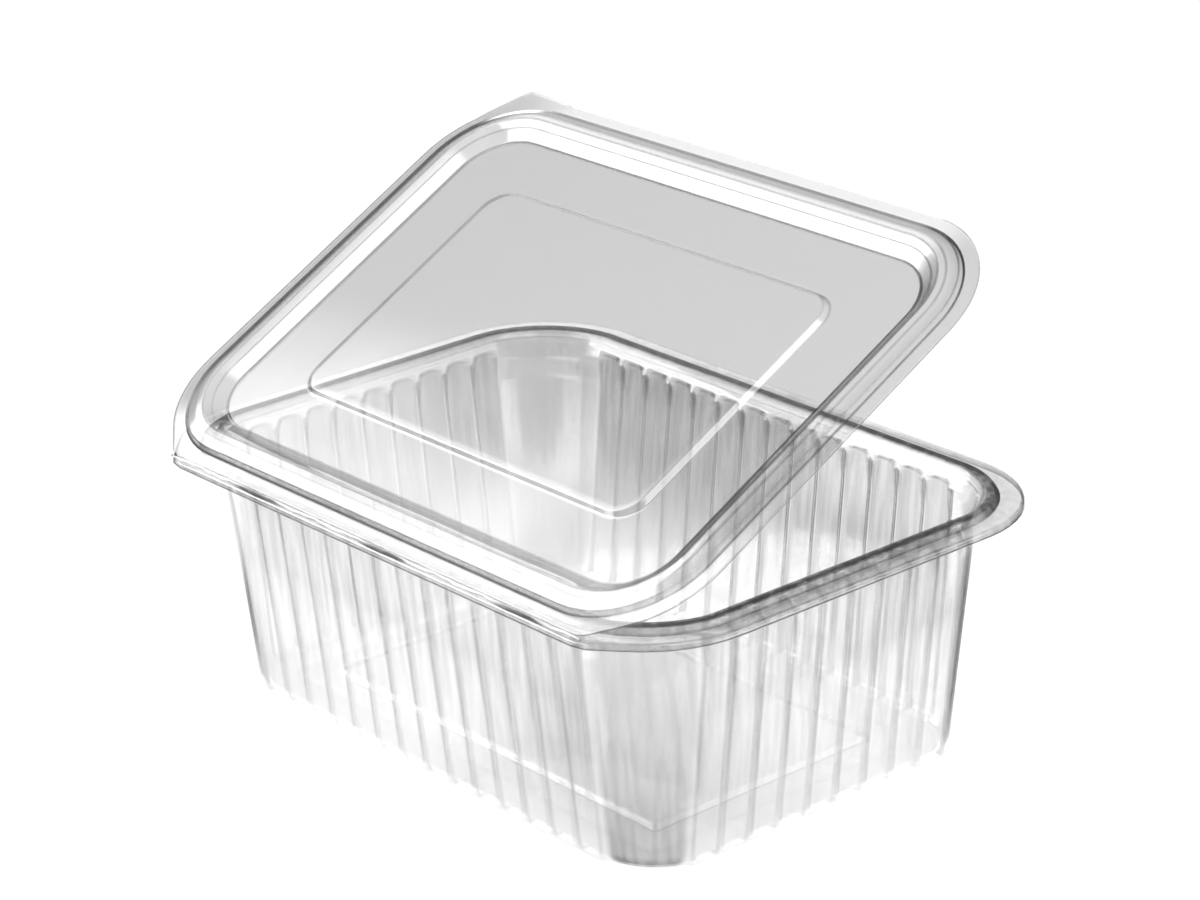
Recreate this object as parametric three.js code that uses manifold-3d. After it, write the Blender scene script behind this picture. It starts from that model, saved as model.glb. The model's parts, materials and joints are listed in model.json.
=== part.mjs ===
// Clear thermoformed food box: a ribbed rectangular tub and its lid, formed from one sheet and joined
// along one long side by a fold in the rim. The lid stands part open on that fold.
// Millimetres. X runs along the fold, Y from the fold to the opening side, Z up.
// The origin is the middle of the underside.
import * as THREE from 'three';
import { mergeVertices } from 'three/addons/utils/BufferGeometryUtils.js';
import Module from 'manifold-3d';

const wasm = await Module();
wasm.setup();

// Driving dimensions
const SHEET = 0.7;
const TUB_LENGTH = 189;
const TUB_WIDTH = 138.4;
const RIM_HEIGHT = 64.5;
const CORNER_RADIUS = 30;
const CORNER_STEPS = 8;
const LID_LENGTH = 186.8;
const LID_REACH = 137.4;
const LID_CORNER_RADIUS = 28.5;
const LID_OPEN_ANGLE = THREE.MathUtils.degToRad(28);

// Tub rim, as insets from the tub's outline and heights from the fold line
const FLANGE_TOP = -0.65;
const LIP_DROP = 1.7;
const BEAD_OUTER_FOOT = 5;
const BEAD_OUTER_TOP = 5.8;
const BEAD_INNER_TOP = 8.5;
const BEAD_INNER_SIDE = 9.2;
const BEAD_TOP = 0.65;

// Tub wall and floor
const WALL_INSET = 9.7;
const WALL_TOP = -1.2;
const DRAFT = Math.tan(THREE.MathUtils.degToRad(6.05));
const FOOT_HEIGHT = 2.6;
const FOOT_BEND_HEIGHT = 0.7;
const FOOT_BEND = 0.8;
const FOOT_FLAT = 2.2;
const FLOOR_RING = 16;
const FLOOR_SLOPE = 1;
const FLOOR_RISE = 1.8;
const FLOOR_CORNER = 0.6;

// Flutes that stand out of the tub wall, side by side, and the bowed plain panels at its corners
const FLUTE_PITCH = 9.1;
const FLUTES_LONG = 14;
const FLUTES_SHORT = 9;
const FLUTE_DEPTH = 1.3;
const FLUTE_FACE = 6.9;
const FLUTE_BASE = 8.5;
const FLUTE_CROWN = 3.4;
const FLUTE_TOP = -3.3;
const FLUTE_RUN_OUT = 1.3;
const FLUTE_SHOULDER = 2.4;
const CORNER_BULGE_TOP = 0.16;
const CORNER_BULGE_FOOT = 0.14;

// Lid, as insets from the lid's outline and heights of its outer face from the fold line
const FOLD_CLEARANCE = 0.6;
const LID_PROFILE = [
  [0, 0.8],
  [3.6, 0.8],
  [4.4, 2],
  [7.1, 3.2],
  [9.2, 3.7],
  [11.2, 1.4],
  [14.2, -0.4],
];
const PANEL_HEIGHT = -0.4;
const PANEL_STEP_RISE = 1.3;
const PANEL_STEP_RUN = 1.5;
const PANEL_STEP_LENGTH = 121.5;
const PANEL_STEP_WIDTH = 76;
const PANEL_STEP_RADIUS = 8;

// Lift tab at one front corner of the lid, in the lid's own plane: its pointed edge, and the arc inside
// the lid's flange that it grows from
const TAB_THINNER = 0.05;
const TAB_EDGE = [
  [-62, LID_REACH],
  [-76.5, 138.1],
  [-80.4, 138.2],
  [-82.6, 135.4],
  [-88.6, 125.4],
];
const TAB_ROOT_INSET = 2;
const TAB_ROOT_ANGLES = [150, 85].map(THREE.MathUtils.degToRad);

// Fold line: section of the slim strip round the lid's axis, across and up from that axis
const FOLD_SECTION = [
  [-0.22, 0],
  [-0.1, -0.6],
  [0.1, -1],
  [0.6, -1],
  [0.35, -0.45],
  [0.22, 0],
  [0, 0.22],
];
const FOLD_LENGTH = 148;

// The four sides, each met after the corner before it on the way round: outward, then along
const SIDES = [
  { outward: [0, 1], along: [-1, 0], flutes: FLUTES_LONG },
  { outward: [-1, 0], along: [0, -1], flutes: FLUTES_SHORT },
  { outward: [0, -1], along: [1, 0], flutes: FLUTES_LONG },
  { outward: [1, 0], along: [0, 1], flutes: FLUTES_SHORT },
];
const CORNERS = [
  [1, 1],
  [-1, 1],
  [-1, -1],
  [1, -1],
];

// Height over chord of a quarter circle
const ROUND_BULGE = Math.tan(Math.PI / 8) / 2;

// A ring is a rectangle with round corners, anticlockwise seen from above: four arcs, and the points
// between them. Its straight sides end at straightX and straightY from the middle, and each arc stands
// bulge times its chord out of that chord.
function ring({
  halfX,
  halfY,
  straightX,
  straightY,
  bulge = ROUND_BULGE,
  centreY = 0,
  z,
  between = () => [],
}) {
  const arcs = CORNERS.map(([signX, signY], index) => {
    const ends = [
      new THREE.Vector2(signX * halfX, signY * straightY),
      new THREE.Vector2(signX * straightX, signY * halfY),
    ];
    const [from, to] = index % 2 ? ends.reverse() : ends;
    return arcBetween(from, to, bulge).map(({ x, y }) => new THREE.Vector3(x, y + centreY, z));
  });
  return { arcs, sides: SIDES.map(between) };
}

function arcBetween(from, to, bulge) {
  const halfChord = from.distanceTo(to) / 2;
  const height = 2 * halfChord * bulge;
  const radius = (halfChord ** 2 + height ** 2) / (2 * height);
  const halfAngle = Math.asin(halfChord / radius);
  const along = to.clone().sub(from).normalize();
  const outward = new THREE.Vector2(along.y, -along.x);
  const centre = from.clone().add(to).multiplyScalar(0.5).addScaledVector(outward, height - radius);
  return Array.from({ length: CORNER_STEPS + 1 }, (_, step) => {
    const angle = halfAngle * ((2 * step) / CORNER_STEPS - 1);
    return centre
      .clone()
      .addScaledVector(outward, radius * Math.cos(angle))
      .addScaledVector(along, radius * Math.sin(angle));
  });
}

function roundRing({ length, width, radius, centreY, z }) {
  const halfX = length / 2;
  const halfY = width / 2;
  return ring({ halfX, halfY, straightX: halfX - radius, straightY: halfY - radius, centreY, z });
}

// Closed solid through a stack of rings, capped at both ends
function skin(rings) {
  const positions = [];
  const faces = [];
  const numbered = rings.map(({ arcs, sides }) => {
    const number = (point) => positions.push(...point.toArray()) / 3 - 1;
    const chains = [];
    arcs.forEach((arc, index) => {
      chains.push(arc.map(number));
      chains.push(sides[index].map(number));
    });
    return chains;
  });
  for (let row = 0; row + 1 < numbered.length; row++) {
    bridgeRings(numbered[row], numbered[row + 1], faces);
  }
  capRing(numbered[0], positions, faces, true);
  capRing(numbered[numbered.length - 1], positions, faces, false);
  return toSolid({ positions, faces });
}

// Each side's chain runs from the last point of the corner before it to the first point of the next
function bridgeRings(lower, upper, faces) {
  for (let index = 0; index < lower.length; index += 2) {
    const next = (index + 2) % lower.length;
    const side = (ringChains) => [ringChains[index].at(-1), ...ringChains[index + 1], ringChains[next][0]];
    bridgeChains(lower[index], upper[index], faces);
    bridgeChains(side(lower), side(upper), faces);
  }
}

// Triangles between two chains, which may have different counts
function bridgeChains(lower, upper, faces) {
  let i = 0;
  let j = 0;
  while (i + 1 < lower.length || j + 1 < upper.length) {
    const lowerNext = (i + 0.5) / (lower.length - 1);
    const upperNext = (j + 0.5) / (upper.length - 1);
    if (lowerNext <= upperNext) {
      faces.push(lower[i], lower[i + 1], upper[j]);
      i += 1;
    } else {
      faces.push(lower[i], upper[j + 1], upper[j]);
      j += 1;
    }
  }
}

function capRing(chains, positions, faces, facingDown) {
  const loop = chains.flat();
  const flat = loop.map((vertex) => new THREE.Vector2(positions[3 * vertex], positions[3 * vertex + 1]));
  THREE.ShapeUtils.triangulateShape(flat, []).forEach(([a, b, c]) => {
    const corners = facingDown ? [a, c, b] : [a, b, c];
    faces.push(...corners.map((corner) => loop[corner]));
  });
}

function toSolid({ positions, faces }) {
  return new wasm.Manifold(
    new wasm.Mesh({
      numProp: 3,
      vertProperties: new Float32Array(positions),
      triVerts: new Uint32Array(faces),
    }),
  );
}

function fromGeometry(geometry) {
  geometry.deleteAttribute('normal');
  geometry.deleteAttribute('uv');
  const merged = mergeVertices(geometry);
  return toSolid({ positions: merged.attributes.position.array, faces: merged.index.array });
}

function toGeometry(solid) {
  const mesh = solid.getMesh();
  const geometry = new THREE.BufferGeometry();
  geometry.setAttribute('position', new THREE.BufferAttribute(mesh.vertProperties, 3));
  geometry.setIndex(new THREE.BufferAttribute(mesh.triVerts, 1));
  geometry.computeVertexNormals();
  return geometry;
}

function outlineShape(points) {
  return new THREE.Shape(points.map(([x, y]) => new THREE.Vector2(x, y)));
}

// A plain ring of the tub at an inset from its outline
function tubRing([inset, z]) {
  return roundRing({
    length: TUB_LENGTH - 2 * inset,
    width: TUB_WIDTH - 2 * inset,
    radius: Math.max(CORNER_RADIUS - inset, FLOOR_CORNER),
    z,
  });
}

function wallInset(z) {
  return WALL_INSET + (RIM_HEIGHT + WALL_TOP - z) * DRAFT;
}

// A ring of the tub wall with four points for every flute: its two roots and its face's two edges.
// inward is how far the ring lies behind the wall's outer face.
function flutedRing({ rootZ, faceZ, rootHalf, faceHalf, depth, inward }) {
  const rootInset = wallInset(rootZ) + inward;
  const bulge = THREE.MathUtils.mapLinear(rootZ, 0, RIM_HEIGHT, CORNER_BULGE_FOOT, CORNER_BULGE_TOP);
  const between = ({ outward, along, flutes }) => {
    const halfSpan = (outward[0] ? TUB_LENGTH : TUB_WIDTH) / 2;
    const point = (across, inset, z) =>
      new THREE.Vector3(
        outward[0] * (halfSpan - inset) + along[0] * across,
        outward[1] * (halfSpan - inset) + along[1] * across,
        z,
      );
    return Array.from({ length: flutes }, (_, index) => (index - (flutes - 1) / 2) * FLUTE_PITCH).flatMap(
      (middle) => [
        point(middle - rootHalf, rootInset, rootZ),
        point(middle - faceHalf, wallInset(faceZ) + inward - depth, faceZ),
        point(middle + faceHalf, wallInset(faceZ) + inward - depth, faceZ),
        point(middle + rootHalf, rootInset, rootZ),
      ],
    );
  };
  return ring({
    halfX: TUB_LENGTH / 2 - rootInset,
    halfY: TUB_WIDTH / 2 - rootInset,
    straightX: (FLUTES_LONG * FLUTE_PITCH) / 2,
    straightY: (FLUTES_SHORT * FLUTE_PITCH) / 2,
    bulge,
    z: rootZ,
    between,
  });
}

// The fluted rings of one face of the sheet from the foot up. behind is 0 on the outer face and the
// sheet's thickness on the inner face.
function flutedWall(behind) {
  const narrower = behind * 0.75;
  const rootHalf = FLUTE_BASE / 2 - narrower;
  const faceHalf = FLUTE_FACE / 2 - narrower;
  const crownHalf = FLUTE_CROWN / 2 - narrower;
  const crown = RIM_HEIGHT + FLUTE_TOP - narrower;
  const level = (rootZ, faceZ, half, depth, bend = 0) =>
    flutedRing({ rootZ, faceZ, rootHalf, faceHalf: half, depth, inward: behind + bend });
  return [
    level(FOOT_BEND_HEIGHT + behind, FOOT_BEND_HEIGHT + behind, faceHalf, FLUTE_DEPTH, FOOT_BEND),
    level(FOOT_HEIGHT, FOOT_HEIGHT, faceHalf, FLUTE_DEPTH),
    level(crown - FLUTE_SHOULDER, crown - FLUTE_SHOULDER, faceHalf, FLUTE_DEPTH),
    level(crown - FLUTE_SHOULDER + FLUTE_RUN_OUT / 2, crown, crownHalf, FLUTE_DEPTH),
    level(crown - FLUTE_SHOULDER + FLUTE_RUN_OUT, crown + FLUTE_RUN_OUT, crownHalf, 0),
    level(RIM_HEIGHT + WALL_TOP - behind, RIM_HEIGHT + WALL_TOP - behind, faceHalf, 0),
  ];
}

function makeTub() {
  const floorEdge = wallInset(0) + FLOOR_RING;
  const rings = [
    tubRing([floorEdge + FLOOR_SLOPE, FLOOR_RISE]),
    tubRing([floorEdge, 0]),
    tubRing([wallInset(0) + FOOT_FLAT, 0]),
    ...flutedWall(0),
    tubRing([BEAD_OUTER_FOOT + SHEET, RIM_HEIGHT + FLANGE_TOP - SHEET]),
    tubRing([SHEET, RIM_HEIGHT + FLANGE_TOP - SHEET]),
    tubRing([SHEET, RIM_HEIGHT + FLANGE_TOP - LIP_DROP]),
    tubRing([0, RIM_HEIGHT + FLANGE_TOP - LIP_DROP]),
    tubRing([0, RIM_HEIGHT + FLANGE_TOP]),
    tubRing([BEAD_OUTER_FOOT, RIM_HEIGHT + FLANGE_TOP]),
    tubRing([BEAD_OUTER_TOP, RIM_HEIGHT + BEAD_TOP]),
    tubRing([BEAD_INNER_TOP, RIM_HEIGHT + BEAD_TOP]),
    tubRing([BEAD_INNER_SIDE, RIM_HEIGHT]),
    ...flutedWall(SHEET).reverse(),
    tubRing([wallInset(0) + SHEET + FOOT_FLAT, SHEET]),
    tubRing([floorEdge - SHEET / 2, SHEET]),
    tubRing([floorEdge + FLOOR_SLOPE - SHEET / 2, FLOOR_RISE + SHEET]),
  ];
  return skin(rings).add(makeFoldStrip());
}

function makeFoldStrip() {
  const strip = new THREE.ExtrudeGeometry(outlineShape(FOLD_SECTION), {
    depth: FOLD_LENGTH,
    bevelEnabled: false,
  });
  strip.translate(0, 0, -FOLD_LENGTH / 2);
  strip.rotateX(Math.PI / 2);
  strip.rotateZ(Math.PI / 2);
  strip.translate(0, -TUB_WIDTH / 2, RIM_HEIGHT);
  return fromGeometry(strip);
}

// The other face of a sheet: each point moved square to the profile by the sheet's thickness
function offsetProfile(profile, distance) {
  return profile.map(([inset, height], index) => {
    const [x0, z0] = profile[Math.max(index - 1, 0)];
    const [x1, z1] = profile[Math.min(index + 1, profile.length - 1)];
    const length = Math.hypot(x1 - x0, z1 - z0);
    return [inset - ((z1 - z0) / length) * distance, height + ((x1 - x0) / length) * distance];
  });
}

// Lid in its own frame: X along the fold, Y away from it, Z out of its outer face
function makeLid() {
  const reach = LID_REACH - FOLD_CLEARANCE;
  const centreY = FOLD_CLEARANCE + reach / 2;
  const rimRing = ([inset, z]) =>
    roundRing({
      length: LID_LENGTH - 2 * inset,
      width: reach - 2 * inset,
      radius: LID_CORNER_RADIUS - inset,
      centreY,
      z,
    });
  const panelRing = (margin, z) =>
    roundRing({
      length: PANEL_STEP_LENGTH - 2 * margin,
      width: PANEL_STEP_WIDTH - 2 * margin,
      radius: PANEL_STEP_RADIUS - margin,
      centreY,
      z,
    });
  const raised = PANEL_HEIGHT + PANEL_STEP_RISE;
  const rings = [
    panelRing(PANEL_STEP_RUN, raised - SHEET),
    panelRing(0, PANEL_HEIGHT - SHEET),
    ...offsetProfile(LID_PROFILE, -SHEET).reverse().map(rimRing),
    ...LID_PROFILE.map(rimRing),
    panelRing(0, PANEL_HEIGHT),
    panelRing(PANEL_STEP_RUN, raised),
  ];
  return skin(rings).add(makeTab());
}

function makeTab() {
  const flangeTop = LID_PROFILE[0][1];
  const outline = outlineShape(TAB_EDGE);
  const centre = [LID_CORNER_RADIUS - LID_LENGTH / 2, LID_REACH - LID_CORNER_RADIUS];
  outline.absarc(...centre, LID_CORNER_RADIUS - TAB_ROOT_INSET, ...TAB_ROOT_ANGLES, true);
  const plate = new THREE.ExtrudeGeometry(outline, {
    curveSegments: CORNER_STEPS,
    depth: SHEET - 2 * TAB_THINNER,
    bevelEnabled: false,
  });
  plate.translate(0, 0, flangeTop - SHEET + TAB_THINNER);
  return fromGeometry(plate);
}

function plasticMaterial() {
  return new THREE.MeshStandardMaterial({
    color: 0xe4e8ea,
    roughness: 0.08,
    metalness: 0,
    transparent: true,
    opacity: 0.35,
  });
}

function namedMesh(name, solid) {
  const mesh = new THREE.Mesh(toGeometry(solid), plasticMaterial());
  mesh.name = name;
  return mesh;
}

const box = new THREE.Group();
box.add(namedMesh('tub', makeTub()));

const lidOnFold = new THREE.Group();
lidOnFold.position.set(0, -TUB_WIDTH / 2, RIM_HEIGHT);
lidOnFold.rotation.x = LID_OPEN_ANGLE;
lidOnFold.add(namedMesh('lid', makeLid()));
box.add(lidOnFold);

export default box;
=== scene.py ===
# %% [markdown]
# # A clear hinged food box
#
# The object is a box for biscuits, formed from one thin sheet of clear plastic: a fluted tub, a lid that
# is joined to it by a fold, and nothing else. Clear sheet has no colour of its own to paint, so its look
# comes from three things: every bend has to be a real, rounded bend, the sheet has to be thin, and the
# studio has to give the bends something light and something dark to mirror.

# %% Load the frame
import json
import math

import bmesh
import bpy
from mathutils import Euler, Matrix, Vector


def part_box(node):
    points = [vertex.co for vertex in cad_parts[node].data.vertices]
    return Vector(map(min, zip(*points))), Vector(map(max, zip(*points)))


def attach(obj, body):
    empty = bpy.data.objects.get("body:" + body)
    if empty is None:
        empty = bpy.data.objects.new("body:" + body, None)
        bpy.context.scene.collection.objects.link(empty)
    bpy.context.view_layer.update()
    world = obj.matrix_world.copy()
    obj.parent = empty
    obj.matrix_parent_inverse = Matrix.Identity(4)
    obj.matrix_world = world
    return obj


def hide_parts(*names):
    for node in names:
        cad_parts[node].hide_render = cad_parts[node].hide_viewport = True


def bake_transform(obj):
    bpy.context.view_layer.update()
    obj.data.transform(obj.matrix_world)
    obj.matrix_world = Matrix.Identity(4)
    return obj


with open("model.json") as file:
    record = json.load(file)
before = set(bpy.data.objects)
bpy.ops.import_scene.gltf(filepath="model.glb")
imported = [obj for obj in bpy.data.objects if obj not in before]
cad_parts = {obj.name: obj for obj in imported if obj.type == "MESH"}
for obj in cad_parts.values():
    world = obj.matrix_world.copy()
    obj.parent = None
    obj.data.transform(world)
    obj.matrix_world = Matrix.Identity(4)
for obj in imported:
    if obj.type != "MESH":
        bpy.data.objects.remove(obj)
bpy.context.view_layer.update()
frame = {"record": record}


# %% [markdown]
# ## The camera
#
# Such a box is shown best through a long lens from above one corner, where its long side, its short side
# and its inside are all in view. The camera is placed by an azimuth and a height angle round a point near
# the box, which keeps the numbers readable.

# %% Place the camera
CAMERA_AZIMUTH = math.radians(49.3)
CAMERA_HEIGHT = math.radians(21.6)
CAMERA_ROLL = math.radians(-1.5)
CAMERA_DISTANCE = 1.0296
CAMERA_TARGET = Vector((-0.0798, 0.0719, 0.0254))
CAMERA_LENS = 114.27
CAMERA_SENSOR = 36.0


def add_object(name, data):
    """Adds an object that shows the data."""
    made = bpy.data.objects.new(name, data)
    bpy.context.scene.collection.objects.link(made)
    return made


camera_data = bpy.data.cameras.new("camera")
camera_data.lens = CAMERA_LENS
camera_data.sensor_width = CAMERA_SENSOR
camera = add_object("camera", camera_data)
towards_camera = Vector((
    math.sin(CAMERA_AZIMUTH) * math.cos(CAMERA_HEIGHT),
    -math.cos(CAMERA_AZIMUTH) * math.cos(CAMERA_HEIGHT),
    math.sin(CAMERA_HEIGHT),
))
aim = Euler((math.pi / 2 - CAMERA_HEIGHT, 0, CAMERA_AZIMUTH)).to_matrix().to_4x4()
camera.matrix_world = (
    Matrix.Translation(CAMERA_TARGET + CAMERA_DISTANCE * towards_camera)
    @ aim
    @ Matrix.Rotation(CAMERA_ROLL, 4, "Z")
)
bpy.context.scene.camera = camera
print("camera", [round(value, 3) for value in camera.matrix_world.translation])

# %% [markdown]
# ## Writing shader maths as expressions
#
# Node setups get long when each Math node takes four lines. One small class wraps a socket, so that an
# ordinary expression adds the Math nodes by itself, and one method adds any other node.

# %% A socket that can be used in expressions
class Value:
    """A number that changes over the surface, as the output socket of a node."""

    def __init__(self, shader, socket):
        self.shader = shader
        self.socket = socket

    def math(self, operation, *others):
        """Adds a Math node that works on this value and the others."""
        return self.shader.node(
            "ShaderNodeMath", {"operation": operation}, dict(enumerate((self, *others)))
        )

    def __add__(self, other):
        return self.math("ADD", other)

    def __sub__(self, other):
        return self.math("SUBTRACT", other)

    def __mul__(self, other):
        return self.math("MULTIPLY", other)

    def __pow__(self, other):
        return self.math("POWER", other)

    __radd__ = __add__
    __rmul__ = __mul__

    def __rsub__(self, other):
        return self.shader.node(
            "ShaderNodeMath", {"operation": "SUBTRACT"}, {0: other, 1: self}
        )


print("a socket now takes +, -, * and **")

# %% A node tree with one method that adds any node
class Shader:
    """A node tree. Every node in it is added by its node method."""

    def __init__(self, tree):
        self.tree = tree
        tree.nodes.clear()

    def node(self, kind, settings=None, inputs=None, output=0):
        """Adds a node. inputs gives its sockets plain values or the Values that feed them."""
        made = self.tree.nodes.new(kind)
        for name, setting in (settings or {}).items():
            setattr(made, name, setting)
        for name, given in (inputs or {}).items():
            if isinstance(given, Value):
                self.tree.links.new(given.socket, made.inputs[name])
            else:
                made.inputs[name].default_value = given
        return Value(self, made.outputs[output]) if made.outputs else None

    def ramp(self, value, start, end, low, high):
        """A value that goes smoothly from low to high while the given one goes from start to end."""
        return self.node(
            "ShaderNodeMapRange", {"interpolation_type": "SMOOTHERSTEP"},
            {"Value": value, "From Min": start, "From Max": end, "To Min": low, "To Max": high},
        )


def grey_colour(value):
    """A grey as the colour that a socket takes."""
    return (value, value, value, 1)


print("middle grey is", grey_colour(0.5))

# %% [markdown]
# ## Floor, light and surroundings
#
# Clear plastic shows itself by what it mirrors. Real studios light it from behind against white, and
# keep the rest of the room dark, so that flat parts vanish, bends turn grey and edges facing the back
# light turn white. The floor and the sky here look white to the camera and to the diffuse light. A mirror
# sees them nearly black, as cards just out of view would make them, apart from what is lit for it alone:
# two bright strips of floor beside the box, a dimmer patch under it and behind it, and the sky's panels.

# %% What a mirror sees of the floor
FLOOR_WHITE = 0.93
MIRRORED_BESIDE = 5.0
MIRRORED_UNDER = 1.1
MIRRORED_BEHIND = 1.0
MIRRORED_FAR = 0.15
# where each patch starts and stops fading, in metres from the middle of the tub
UNDER_FADE = (0.08, 0.12)
BESIDE_FADE = (0.24, 0.36)
FRONT_FADE_DEEP = (-0.105, -0.036)
FRONT_FADE_ACROSS = (-0.03, 0.05)
RIGHT_FADE_ACROSS = (0.068, 0.135)
RIGHT_FADE_DEEP = (-0.04, 0.02)
BEHIND_FADE = (0.06, 0.1)
BEHIND_DIRECTION = (-0.76, 0.65)
DEPTH_COUNTS = 1.8  # the patches round the box are ovals, longer than deep, as the box is

floor_material = bpy.data.materials.new("floor_white")
floor_material.use_nodes = True
floor_shader = Shader(floor_material.node_tree)
floor_place = floor_shader.node("ShaderNodeTexCoord", output="Object")
across, deep = (
    floor_shader.node("ShaderNodeSeparateXYZ", inputs={0: floor_place}, output=axis) for axis in "XY"
)
away = (across * across + deep * deep * DEPTH_COUNTS) ** 0.5
outside = floor_shader.ramp(away, *UNDER_FADE, 0.0, 1.0)
close_by = floor_shader.ramp(away, *BESIDE_FADE, 1.0, 0.0)
in_front = floor_shader.ramp(deep, *FRONT_FADE_DEEP, 1.0, 0.0)
in_front = in_front * floor_shader.ramp(across, *FRONT_FADE_ACROSS, 1.0, 0.0)
to_the_right = floor_shader.ramp(across, *RIGHT_FADE_ACROSS, 0.0, 1.0)
to_the_right = to_the_right * floor_shader.ramp(deep, *RIGHT_FADE_DEEP, 0.0, 1.0)
beside_box = close_by * in_front.math("MAXIMUM", to_the_right)
backwards = deep * BEHIND_DIRECTION[1] + across * BEHIND_DIRECTION[0]
behind = floor_shader.ramp(backwards, *BEHIND_FADE, 0.0, 1.0)
floor_brightness = (
    beside_box * (MIRRORED_BESIDE - MIRRORED_FAR)
    + (1 - outside) * (MIRRORED_UNDER - MIRRORED_FAR)
    + behind * (MIRRORED_BEHIND - MIRRORED_FAR)
    + MIRRORED_FAR
)
floor_mirrored = floor_shader.node("ShaderNodeEmission", inputs={"Strength": floor_brightness})
floor_lit = floor_shader.node("ShaderNodeBsdfDiffuse", inputs={"Color": grey_colour(FLOOR_WHITE)})
seen_in_mirror = floor_shader.node("ShaderNodeLightPath", output="Is Glossy Ray")
floor_surface = floor_shader.node(
    "ShaderNodeMixShader", inputs={0: seen_in_mirror, 1: floor_lit, 2: floor_mirrored}
)
floor_shader.node("ShaderNodeOutputMaterial", inputs={"Surface": floor_surface})
print("floor's brightness in a mirror from", MIRRORED_FAR, "to", MIRRORED_BESIDE)

# %% The floor
FLOOR_SIZE = 8.0
FLOOR_GAP = 0.0002


def add_mesh(name, shape, material):
    """Adds an object with the shape of a bmesh, which is then freed."""
    data = bpy.data.meshes.new(name)
    shape.to_mesh(data)
    shape.free()
    data.materials.append(material)
    return add_object(name, data)


floor_shape = bmesh.new()
bmesh.ops.create_grid(floor_shape, x_segments=1, y_segments=1, size=FLOOR_SIZE / 2)
bmesh.ops.translate(floor_shape, verts=floor_shape.verts, vec=(0, 0, -FLOOR_GAP))
floor = add_mesh("floor", floor_shape, floor_material)
print("floor", FLOOR_SIZE, "m square")

# %% [markdown]
# The sky's panels stand for the lit panels of a studio. Each is a soft round patch of the sky in one
# direction. Which bend shows which panel is worked out backwards: a bend that should look white mirrors
# the direction in which a panel then has to be. A ray passes many faces of the sheet one behind another,
# so it's allowed more see-through hits than usual.

# %% The surroundings
SKY_WHITE = 1.08
SKY_IN_MIRROR = 0.12
SEE_THROUGH_HITS = 64
# name: azimuth from the left (towards the back is positive) and height in degrees, brightness, and
# the angles from its middle at which it is full and at which it has faded out
PANELS = {
    "front_left_low": (-44, 7, 4.0, 16, 42),
    "front_left_high": (-40, 36, 5.7, 30.0, 34.8),
    "back_left_high": (27, 40, 3.0, 5, 13),
    "back_left_low": (41, 18, 1.0, 6, 16),
    "back_left_side": (39, 12, 3.4, 7, 12),
    "overhead_right": (-174, 60, 5.0, 6, 20),
    "right": (142, 19, 2.4, 4, 20),
}

world = bpy.data.worlds.new("studio")
world.use_nodes = True
bpy.context.scene.world = world
sky = Shader(world.node_tree)
direction = sky.node("ShaderNodeTexCoord", output="Generated")
brightness = SKY_IN_MIRROR
for name, (azimuth, height, strength, full, gone) in PANELS.items():
    turn = Euler((0, math.radians(height), -math.radians(azimuth))).to_matrix()
    middle = turn @ Vector((-1, 0, 0))
    nearness = sky.node(
        "ShaderNodeVectorMath", {"operation": "DOT_PRODUCT"},
        {0: direction, 1: middle}, output="Value",
    )
    fade = [math.cos(math.radians(angle)) for angle in (gone, full)]
    brightness = sky.ramp(nearness, *fade, 0.0, strength) + brightness
    print("panel", name, [round(part, 2) for part in middle], "brightness", strength)
mirrored = sky.node("ShaderNodeLightPath", output="Is Glossy Ray")
sky_strength = sky.node(
    "ShaderNodeMix", inputs={"Factor": mirrored, "A": SKY_WHITE, "B": brightness}
)
sky_surface = sky.node(
    "ShaderNodeBackground", inputs={"Color": grey_colour(1.0), "Strength": sky_strength}
)
sky.node("ShaderNodeOutputWorld", inputs={"Surface": sky_surface})
bpy.context.scene.view_settings.view_transform = "Standard"
bpy.context.scene.cycles.transparent_max_bounces = SEE_THROUGH_HITS
print("sky strength", SKY_WHITE, "and", SKY_IN_MIRROR, "in a mirror")

# %% [markdown]
# The panels above are only seen in mirrors. One real lamp, a wide soft one overhead, gives the box and the
# floor their light and a trace of shade.

# %% The lamp
LAMP_DIRECTION = Vector((0.25, -0.35, 1.0)).normalized()
LAMP_DISTANCE = 1.6
LAMP_SIZE = 1.2
LAMP_POWER = 1.5

lamp_data = bpy.data.lights.new("overhead_lamp", "AREA")
lamp_data.size = LAMP_SIZE
lamp_data.energy = LAMP_POWER
lamp = add_object("overhead_lamp", lamp_data)
lamp.matrix_world = Matrix.Translation(LAMP_DIRECTION * LAMP_DISTANCE) @ (
    LAMP_DIRECTION.to_track_quat("Z", "Y").to_matrix().to_4x4()
)
print("lamp", LAMP_POWER, "W")

# %% [markdown]
# ## Clear plastic
#
# A sheet this thin bends light so little that what is behind it hardly moves. So the sheet is made from
# see-through shaders and a mirror, which are mixed by how steeply it is looked at. The mirror's share
# follows the usual rule for clear plastic, about a twentieth from straight on and everything at a
# glancing angle, which is what draws the dark and light lines along each bend. A broad, faint waviness
# bends the reflections as formed sheet does.
#
# The mesh carries painted light and shade as an attribute called grey, one number at each vertex.
# Above zero it is painted shade: it darkens the sheet, most of all where it is seen from the side, and
# thin upright streaks vary it. Below zero it is painted light: the sheet mirrors and darkens less there,
# down to nothing at -1.

# %% How much a sheet mirrors and darkens
MIRROR_SHARE = 0.05
MIRROR_POWER = 5.0
GREY_TAKES_MIRROR = (0.45, 0.8)
MIRROR_LEFT = 0.2
GREY_STRAIGHT_ON = 0.3
GREY_FROM_SIDE = 2.6
STREAK_SCALE = 620.0
STREAK_STRETCH = (1.0, 1.0, 0.012)
STREAK_RANGE = (0.3, 0.7)


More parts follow.
